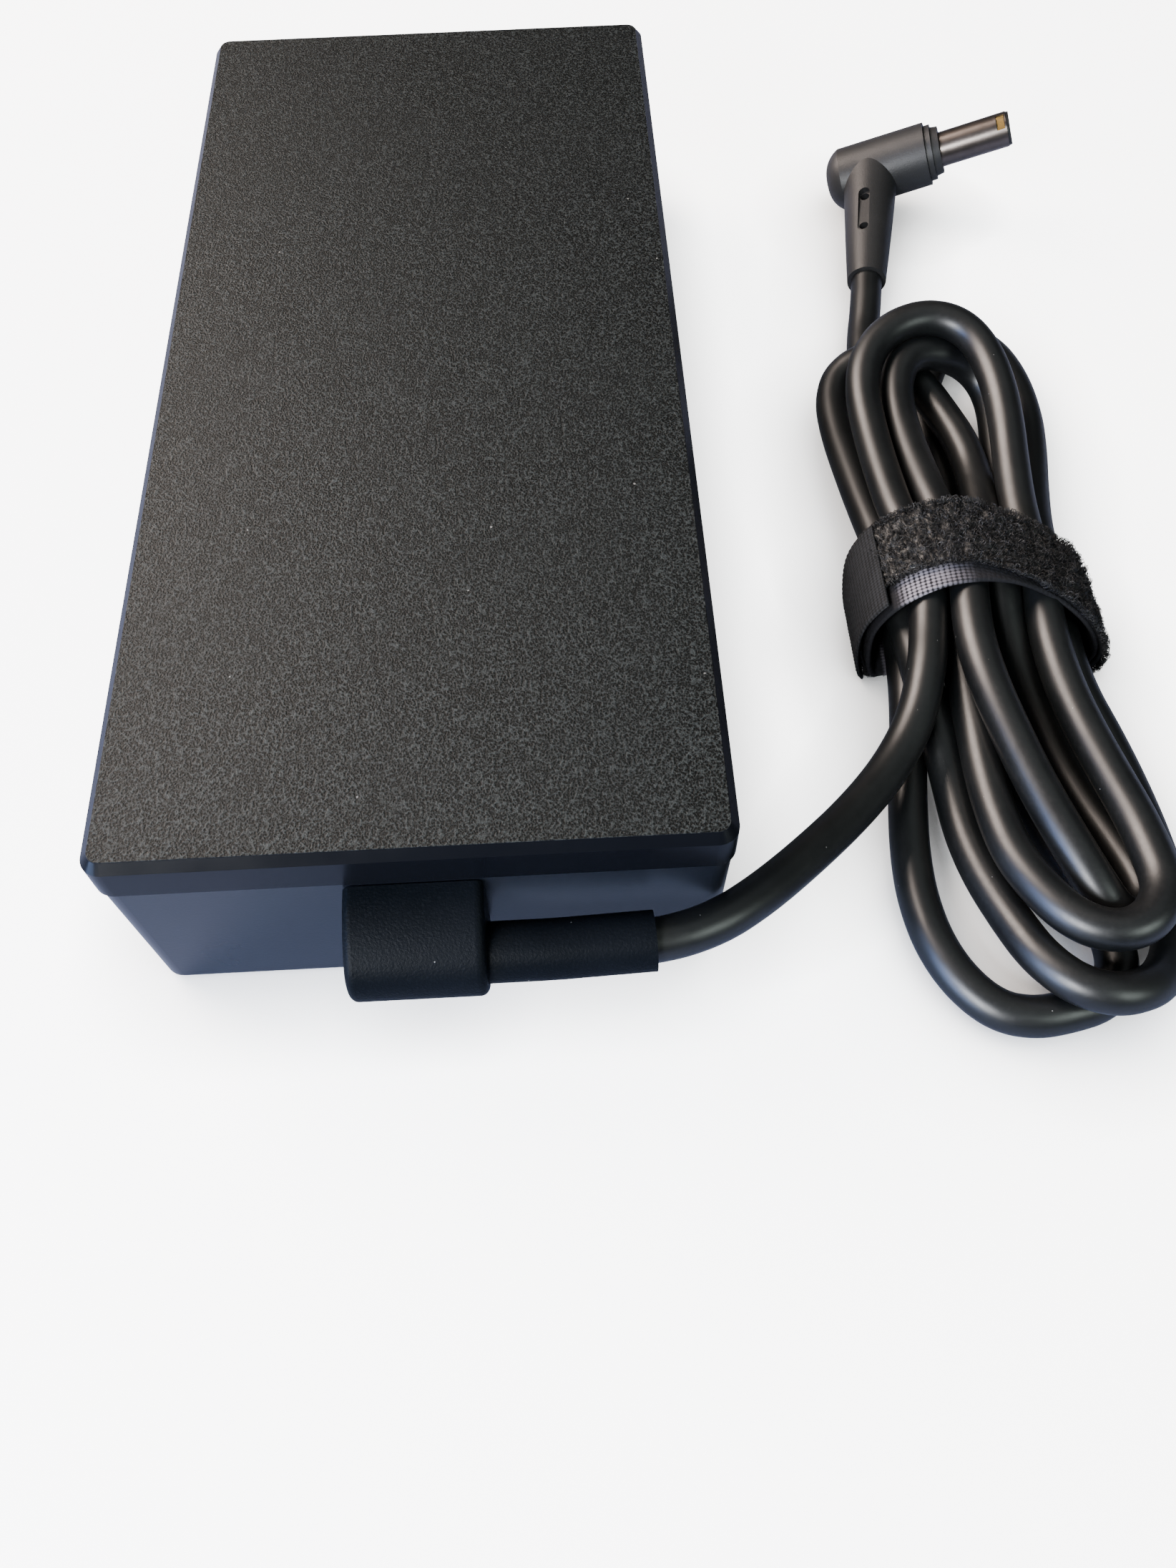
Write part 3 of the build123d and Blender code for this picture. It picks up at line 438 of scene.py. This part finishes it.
# The hank's turns, in order along the cord. Each loop starts where it passes under the strap.
hank_loops = [
    [  # uppermost loop at the far end, left strand up and right strand down
        (65, -27, 12.8), (63, -17.5, 12.2), (62.3, -8.5, 11.8), (61.9, -0.5, 11.8),
        (61.8, 5.8, 12.2), (62.4, 10.2, 12.8), (64, 13.8, 13.4), (66.6, 16.4, 13.9),
        (70, 18, 14.2), (73.4, 18.4, 14.2), (76.6, 17.4, 14.1), (79, 15, 13.8),
        (80.5, 11.2, 13.3), (81.2, 5.8, 12.5), (81, -0.5, 11.6), (80.2, -7.5, 10.6),
        (79.4, -16, 9.9),
    ],
    [  # near end: inner left
        (79.4, -27, 10.4), (79, -35, 9.6), (79.4, -42.5, 9), (80.6, -49.5, 8.6),
        (82.3, -56.5, 8.2), (83.7, -62.5, 8), (84.2, -67.6, 8), (84.2, -72, 8),
        (82.2, -75.6, 8.2), (79.2, -77.6, 8.4), (75.8, -77.6, 8.6), (72.8, -75.6, 8.6),
        (70.5, -72, 8.4), (68.6, -67.4, 8), (67.8, -62, 7.8), (67.5, -56, 7.6),
        (67.6, -49.5, 7.6), (67.7, -42.5, 7.8), (68, -35, 8),
    ],
    [  # far end: outer right
        (67.6, -27, 8.2), (71.0, -18, 4.8), (73.6, -9, 3), (74.2, -1, 2.6),
        (73.8, 6.5, 2.6), (73.8, 13.4, 2.6), (75.6, 19.8, 2.6), (79, 26.2, 2.8),
        (83, 27.4, 3.4), (86.2, 24.2, 4.2), (88, 17, 4.6), (88.5, 9.5, 4.2),
        (87.5, 2, 4), (85.7, -6, 4.6), (83.7, -16, 6),
    ],
    [  # near end: second from outside
        (83.4, -27, 6.9), (82.9, -35, 6.2), (83.7, -42.5, 5.2), (85.7, -49, 4.2),
        (87.3, -55.5, 3.2), (88.2, -62, 2.7), (88.4, -68, 2.6), (88, -73.5, 2.7),
        (86.6, -78.4, 3.4), (83.8, -82.4, 5), (80.2, -84.6, 6.8), (76.4, -85.2, 7.6),
        (72.6, -83.6, 7.4), (69.6, -79.6, 6.4), (67.8, -74, 5), (66.0, -67.5, 3.8),
        (65.0, -61, 3.1), (64.6, -54.5, 3.4), (63.8, -47.5, 5), (62.6, -38, 7.6),
    ],
    [  # far end: outer left, crossing under the first loop
        (61.7, -27, 9), (61.2, -18, 8.2), (60.4, -10, 7.2), (59.8, -2, 6.2),
        (59.3, 6, 5.3), (59.4, 13, 5), (60.8, 17.6, 5.4), (63.6, 19.6, 6.6),
        (67, 19.8, 7.6), (70.2, 17.8, 7.6), (72.8, 13.6, 7.2), (75, 8.2, 6),
        (76.8, 1.5, 6.2), (77.4, -5, 6.4), (76.6, -12.5, 8.2), (75.6, -19, 9.6),
    ],
    [  # near end: the small innermost fold
        (75.2, -27, 11.8), (75.4, -34, 8.6), (76.6, -40, 6), (78.2, -46, 4.2),
        (79.6, -52, 3), (81.2, -58, 2.6), (82.9, -63.5, 2.6), (84.2, -68.6, 2.6),
        (84, -73, 2.8), (81.6, -75.4, 3.4), (78.8, -74.4, 5.2), (76.8, -71, 7.4),
        (75.2, -67, 8.6), (73.6, -62.4, 9.4), (72, -57.2, 10.2), (70.5, -51.5, 11.2),
        (69.2, -45.5, 12.2), (68.6, -39, 13), (69.2, -33, 13.3),
    ],
    [  # far end: inner loop
        (70.2, -27, 13.2), (69, -20, 12.4), (68.2, -13.5, 11.8), (67.6, -6.5, 11),
        (67.1, 0.2, 10.4), (67, 6.2, 10.4), (67.6, 10.9, 10.8), (69.2, 14.2, 11.2),
        (72.2, 16, 11), (76.4, 16.4, 10), (79.8, 16.2, 8.4), (82.4, 14.2, 6.8),
        (83.6, 10.4, 5.6), (83.4, 4.6, 4.8), (82.2, -1.5, 4.6), (80, -9, 4.6),
        (76.4, -18, 5.8),
    ],
    [  # near end: the loop that lies on the surface
        (72.8, -27, 7.6), (71.8, -35, 5.4), (72.2, -43, 3.6), (73.4, -50, 2.8),
        (75, -57, 2.6), (77, -63.5, 2.6), (79.6, -69.5, 2.6), (81.4, -75, 2.6),
        (81.2, -80, 2.6), (78.2, -83.8, 2.6), (73.6, -85, 2.6), (69.4, -85.6, 2.6),
        (65.2, -84.6, 2.6), (61.8, -81, 2.6), (59.6, -76, 2.6), (58.8, -70, 2.6),
        (59.2, -64, 2.6), (60.4, -58, 2.6), (62, -52, 2.6), (63.6, -45, 2.8),
        (64.2, -36, 3.6),
    ],
    [  # out of the strap again, along the surface to the plug
        (63.8, -27, 4.3), (63.6, -18, 3.4), (63.6, -9.5, 2.7), (64.2, -1, 2.6),
        (65, 8, 2.6), (65.8, 17, 2.6),
    ],
]
CORD = 5.0
LOWEST = 2.52
# settle()'s own numbers: how far each round moves a point, how much of a move its neighbours share,
# and how much of each move across and up the view is taken back each round.
PUSH = 0.6
STRIDE = 1.2
SHARED = 0.1
HELD = 0.02


def spline_weights(count, steps):
    """How much each of a clamped quadratic spline's control points counts at evenly spaced places along it."""
    knots = np.concatenate([[0, 0], np.arange(0, count - 1), [count - 2, count - 2]]).astype(float)
    places = np.linspace(0, count - 2, (count - 2) * steps + 1)
    places[-1] -= 1e-9
    weights = np.zeros((len(places), count))
    for row, t in enumerate(places):
        k = int(t) + 2
        left, mid, right_knot = knots[k - 1], knots[k], knots[k + 1]
        far = knots[k + 2]
        a = (t - left) / (right_knot - left)
        b = (t - mid) / (far - mid)
        c = (t - mid) / (right_knot - mid)
        weights[row, k - 2] = (1 - a) * (1 - c)
        weights[row, k - 1] = a * (1 - c) + (1 - b) * c
        weights[row, k] = b * c
    return weights


def settle(points, first, last, rounds=120):
    """Pushes the hank's turns towards a diameter apart, and keeps them all on or above the surface.
    Only points from first to last move."""
    start = np.array(points, float)
    control = start.copy()
    weights = spline_weights(len(points), 4)
    total = weights.sum(0)[:, None]
    loose = np.zeros((len(points), 1))
    loose[first:last] = 1.0
    keep_across = np.array([1.0, 0.0, 0.0])
    keep_along = np.array([0.0, 0.857, 0.515])
    for _ in range(rounds):
        line = weights @ control
        steps = np.linalg.norm(np.diff(line, axis=0), axis=1)
        along = np.concatenate([[0.0], np.cumsum(steps)])
        offset = line[:, None] - line[None]
        distance = np.linalg.norm(offset, axis=2)
        near = (distance < CORD) & (np.abs(along[:, None] - along[None]) > 3 * CORD)
        depth = np.where(near, (CORD - distance) / np.maximum(distance, 1e-6), 0.0)
        push = (depth[:, :, None] * offset).sum(1) / np.maximum(near.sum(1), 1)[:, None] * PUSH
        moved = control + (weights.T @ push) / total * loose * STRIDE - start
        moved[1:-1] = (1 - 2 * SHARED) * moved[1:-1] + SHARED * (moved[:-2] + moved[2:])
        for axis in (keep_across, keep_along):
            moved -= HELD * np.outer(moved @ axis, axis)
        control = start + moved * loose
        control[:, 2] = np.maximum(control[:, 2], LOWEST)
    return control


def cord_curve(name, points, diameter):
    """One NURBS spline with these control points, in millimetres, and a round section."""
    curve = bpy.data.curves.new(name, "CURVE")
    curve.dimensions = "3D"
    spline = curve.splines.new("NURBS")
    spline.points.add(len(points) - 1)
    for point, place in zip(spline.points, points):
        point.co = (*(Vector(place) * MM), 1.0)
    spline.order_u = 3
    spline.use_endpoint_u = True
    spline.resolution_u = 10
    curve.bevel_depth = diameter / 2 * MM
    curve.bevel_resolution = 7
    curve.use_fill_caps = True
    piece = bpy.data.objects.new(name, curve)
    scene.collection.objects.link(piece)
    return piece


hank_points = [point for loop in hank_loops for point in loop]
route = lead_points + hank_points + plug_lead_points
route = settle(route, len(lead_points), len(lead_points) + len(hank_points))
cord = cord_curve("output_cord", [tuple(point) for point in route], CORD)
cord.data.materials.append(cord_jacket())
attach(cord, "root")
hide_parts("output_lead", "cord_hank", "plug_lead")

# ---------------------------------------------------------------- the hook-and-loop tie
# Places round the bundle, in millimetres: x, z, and the y of the band's back and front edges there.
band_places = [
    (58.2, 1.2, -24.0, -35.5),
    (57.2, 5.0, -22.5, -34.8),
    (57.6, 9.5, -20.5, -34.0),
    (60.4, 14.0, -19.9, -33.6),
    (65.0, 16.4, -19.6, -32.8),
    (70.0, 17.0, -19.6, -32.4),
    (75.5, 16.0, -20.8, -32.4),
    (80.5, 13.6, -21.8, -33.0),
    (84.8, 10.8, -23.0, -34.6),
    (87.6, 7.0, -24.8, -35.6),
    (88.2, 3.2, -27.0, -35.8),
    (85.5, 0.7, -27.0, -35.6),
    (72.0, 0.5, -23.0, -35.0),
    (61.0, 0.5, -23.0, -35.0),
]
# How far the pile's front edge stays behind the woven strip's front edge, at the same places.
pile_setback = [1.6, 2.6, 3.6, 3.9, 3.5, 2.9, 1.2, 0.5, 0.0, -0.4, -0.5, -0.3, 0.4, 1.0]


def around(places, count):
    """A closed smooth curve through the places, as count evenly numbered samples."""
    rows = np.array(places, float).reshape(len(places), -1)
    out = []
    for step in range(count):
        at = step / count * len(rows)
        k, t = int(at), at - int(at)
        a, b, c, d = (rows[(k + shift) % len(rows)] for shift in (-1, 0, 1, 2))
        cubic = (2 * a - 5 * b + 4 * c - d) * t * t + (3 * b - a - 3 * c + d) * t**3
        out.append(0.5 * (2 * b + (c - a) * t + cubic))
    return np.array(out)


def ring_frames(count):
    """Samples round the band: places in the x-z plane, outward directions there, and the edges' y."""
    rows = around(band_places, count)
    flat = rows[:, :2]
    tangent = np.roll(flat, -1, 0) - np.roll(flat, 1, 0)
    tangent /= np.linalg.norm(tangent, axis=1)[:, None]
    outward = np.stack([-tangent[:, 1], tangent[:, 0]], 1)
    length = np.concatenate([[0.0], np.cumsum(np.linalg.norm(np.diff(flat, axis=0), axis=1))])
    return flat, outward, rows[:, 2], rows[:, 3], length


def mesh_piece(name, verts, faces, material):
    """A mesh object from millimetre points, riding on the body."""
    mesh = bpy.data.meshes.new(name)
    mesh.from_pydata([tuple(Vector(v) * MM) for v in verts], [], faces)
    mesh.update()
    mesh.polygons.foreach_set("use_smooth", [True] * len(mesh.polygons))
    mesh.materials.append(material)
    piece = bpy.data.objects.new(name, mesh)
    scene.collection.objects.link(piece)
    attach(piece, "root")
    return piece


def band(name, material, count, across, outer, inner, back_trim, front_trim, relief, shares=None):
    """A strip of tape round the bundle with a thickness, rounded edges and its own surface relief.
    outer and inner are its faces' distances outside the ring's line. relief(along, over, x, y, z) is in mm.
    shares is the part of the ring it covers. Without it the strip is closed."""
    closed = shares is None
    flat, outward, back, front, length = ring_frames(count)
    low, high = (0.0, 1.0) if closed else shares
    keep = [k for k in range(count) if low <= k / count <= high]
    verts, uvs = [], []
    middle, half = (outer + inner) / 2, (outer - inner) / 2
    for k in keep:
        y0 = back[k] - (back_trim[k] if np.ndim(back_trim) else back_trim)
        y1 = front[k] + (front_trim[k] if np.ndim(front_trim) else front_trim)
        for side in (1, -1):
            for j in range(across + 1):
                share = j / across if side == 1 else 1 - j / across
                y = y0 + (y1 - y0) * share
                edge = min(share, 1 - share) * abs(y1 - y0)
                round_off = math.sqrt(max(0.0, 1 - (1 - min(edge / half, 1)) ** 2))
                over = abs(y1 - y0) * share
                lift = relief(length[k], over, flat[k][0], y, flat[k][1]) if side == 1 else 0.0
                away = middle + side * half * max(round_off, 0.15) + lift * round_off
                spot = flat[k] + outward[k] * away
                verts.append((spot[0], y, max(spot[1], 0.04)))
                uvs.append((length[k], over))
    row = 2 * (across + 1)
    total = len(verts) // row
    faces = []
    for k in range(total if closed else total - 1):
        n = (k + 1) % total
        for j in range(row):
            m = (j + 1) % row
            faces.append((k * row + j, k * row + m, n * row + m, n * row + j))
    if not closed:
        faces.append(tuple(range(row)))
        faces.append(tuple((total - 1) * row + j for j in reversed(range(row))))
    piece = mesh_piece(name, verts, faces, material)
    layer = piece.data.uv_layers.new(name="millimetres")
    for loop in piece.data.loops:
        layer.data[loop.index].uv = uvs[loop.vertex_index]
    bm = bmesh.new()
    bm.from_mesh(piece.data)
    bmesh.ops.recalc_face_normals(bm, faces=bm.faces)
    bm.to_mesh(piece.data)
    bm.free()
    return piece


def weave(pitch, depth):
    """Relief of a plain weave: raised squares in alternating places."""
    def relief(along, over, x, y, z):
        return depth * math.sin(math.tau * along / pitch) * math.sin(math.tau * over / (pitch * 0.8))
    return relief


def tufts(along, over, x, y, z):
    """Lumps of the loop pile."""
    spot = Vector((x, y, z))
    return 0.42 * noise.noise(spot * 0.75) + 0.26 * noise.noise(spot * 1.9)


AROUND = 420
setback = around([(value,) for value in pile_setback], AROUND)[:, 0]
# The woven strip's last colour numbers are the x places of its painted shade at the right and left ends.
woven_strip = band(
    "tie_woven_strip",
    woven("strap_woven", (0.004, 0.004, 0.006), (0.22, 0.205, 0.24), 1.3, 0.03, (70, 63.5, 60, 61.5)),
    AROUND, 44, 0.0, -0.65, 1.2, 0.0, weave(0.78, 0.10),
)
pile_band = band(
    "tie_loop_pile",
    pile("strap_pile_base", (0.002, 0.002, 0.0023), (0.006, 0.006, 0.007)),
    AROUND, 36, 0.75, 0.02, 0.0, setback, tufts,
)
hook_end = band(
    "tie_hook_end",
    woven("strap_hook", (0.0008, 0.0010, 0.0016), (0.016, 0.017, 0.020), 1.1, 0.04),
    AROUND, 44, 1.45, 0.95, -0.3, 0.2, weave(0.62, 0.08), (0.0, 0.20),
)
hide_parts("tie_strap")

# Loop fibres: thin bent ribbons that start in the pile.
draw = random.Random(7)
flat, outward, back, front, _ = ring_frames(AROUND)
fibre_verts, fibre_faces, fibre_tones = [], [], []
FIBRES = 12000
STEPS = 5
CORNERS = 3
HOOKED_SHARE = 0.17  # the hook end hides this much of the ring, so few fibres start there
for _ in range(FIBRES):
    k = draw.randrange(AROUND)
    if k / AROUND < HOOKED_SHARE and draw.random() < 0.93:
        continue
    share = draw.random()
    if draw.random() < 0.24:
        share = draw.choice((0.0, 1.0))
    y0, y1 = back[k], front[k] + setback[k]
    x, y, z = flat[k][0], y0 + (y1 - y0) * share, flat[k][1]
    out = Vector((outward[k][0], 0, outward[k][1]))
    root = Vector((x, y, z)) + out * (0.45 + tufts(0, 0, x, y, z))
    lean = Vector((0, 1 if share == 0.0 else -1 if share == 1.0 else 0, 0))
    rise = (out + lean * draw.uniform(0.2, 1.0)).normalized()
    along = rise.orthogonal().normalized()
    along.rotate(Matrix.Rotation(draw.uniform(0, math.tau), 3, rise))
    other = rise.cross(along)
    tall, wide, curl = draw.uniform(0.45, 1.0), draw.uniform(0.35, 1.0), draw.uniform(-0.45, 0.45)
    thick = draw.uniform(0.026, 0.042)
    line = []
    for step in range(STEPS + 1):
        t = step / STEPS
        up = rise * (tall * math.sin(math.pi * t * 0.92))
        line.append(root + up + along * (wide * (t - 0.5)) + other * (curl * math.sin(math.tau * t)))
    first = len(fibre_verts)
    clump = 0.42 + 1.5 * noise.noise(root * 0.8)
    tone = min(1.0, max(0.03, clump)) * draw.random() ** 1.8
    for spot, ahead in zip(line, line[1:] + [line[-1] * 2 - line[-2]]):
        run = (ahead - spot).normalized()
        u = run.orthogonal().normalized()
        w = run.cross(u)
        for corner in range(CORNERS):
            turn = math.tau * corner / CORNERS
            place = spot + (u * math.cos(turn) + w * math.sin(turn)) * thick
            fibre_verts.append((place.x, place.y, max(place.z, 0.03)))
            fibre_tones.append(tone)
    for step in range(STEPS):
        for corner in range(CORNERS):
            a = first + step * CORNERS + corner
            b = first + step * CORNERS + (corner + 1) % CORNERS
            fibre_faces.append((a, b, b + CORNERS, a + CORNERS))
    last = first + STEPS * CORNERS
    fibre_faces.append((first, first + 2, first + 1))
    fibre_faces.append((last, last + 1, last + 2))
fibres = mesh_piece(
    "tie_pile_fibres",
    fibre_verts,
    fibre_faces,
    pile("strap_fibre", (0.0006, 0.0006, 0.0008), (0.062, 0.062, 0.066)),
)
tones = fibres.data.attributes.new("tone", "FLOAT", "POINT")
tones.data.foreach_set("value", fibre_tones)

# ---------------------------------------------------------------- floor and finish
floor = bpy.data.objects.new("floor", bpy.data.meshes.new("floor"))
floor.data.from_pydata([(-3, -3, 0), (3, -3, 0), (3, 3, 0), (-3, 3, 0)], [], [(0, 1, 2, 3)])
floor.location.z = -0.0002
scene.collection.objects.link(floor)
# The camera sees the floor nearly white. Reflections and bounced light see a darker, bluish one.
FLOOR_GLOW = 5.5
FLOOR_IN_REFLECTIONS = (0.20, 0.23, 0.34)
paper = Nodes("floor_paper")
fibre = paper.noise(0.8, 3.0)
sheet = paper.blend(paper.span(fibre, 0.3, 0.7), (0.66, 0.66, 0.66), (0.70, 0.70, 0.70))
seen = paper.add("ShaderNodeLightPath").outputs["Is Camera Ray"]
shown = paper.blend(seen, FLOOR_IN_REFLECTIONS, sheet)
floor.data.materials.append(paper.finish(shown, 0.9, specular=0.1))
paper.shader.inputs["Emission Color"].default_value = (1, 1, 1, 1)
# Painted shadow: the floor's glow fades where the strands, tie and case are near, as contact shadow round them
# and as dark gaps between the strands.
contact = paper.add("ShaderNodeAmbientOcclusion", samples=8)
contact.inputs["Distance"].default_value = 14 * MM
painted_shadow_fade = paper.math("POWER", contact.outputs["AO"], 2.6)
glow = paper.math("MULTIPLY", seen, painted_shadow_fade)
paper.link(paper.math("MULTIPLY_ADD", glow, FLOOR_GLOW, 0.05), paper.shader.inputs["Emission Strength"])
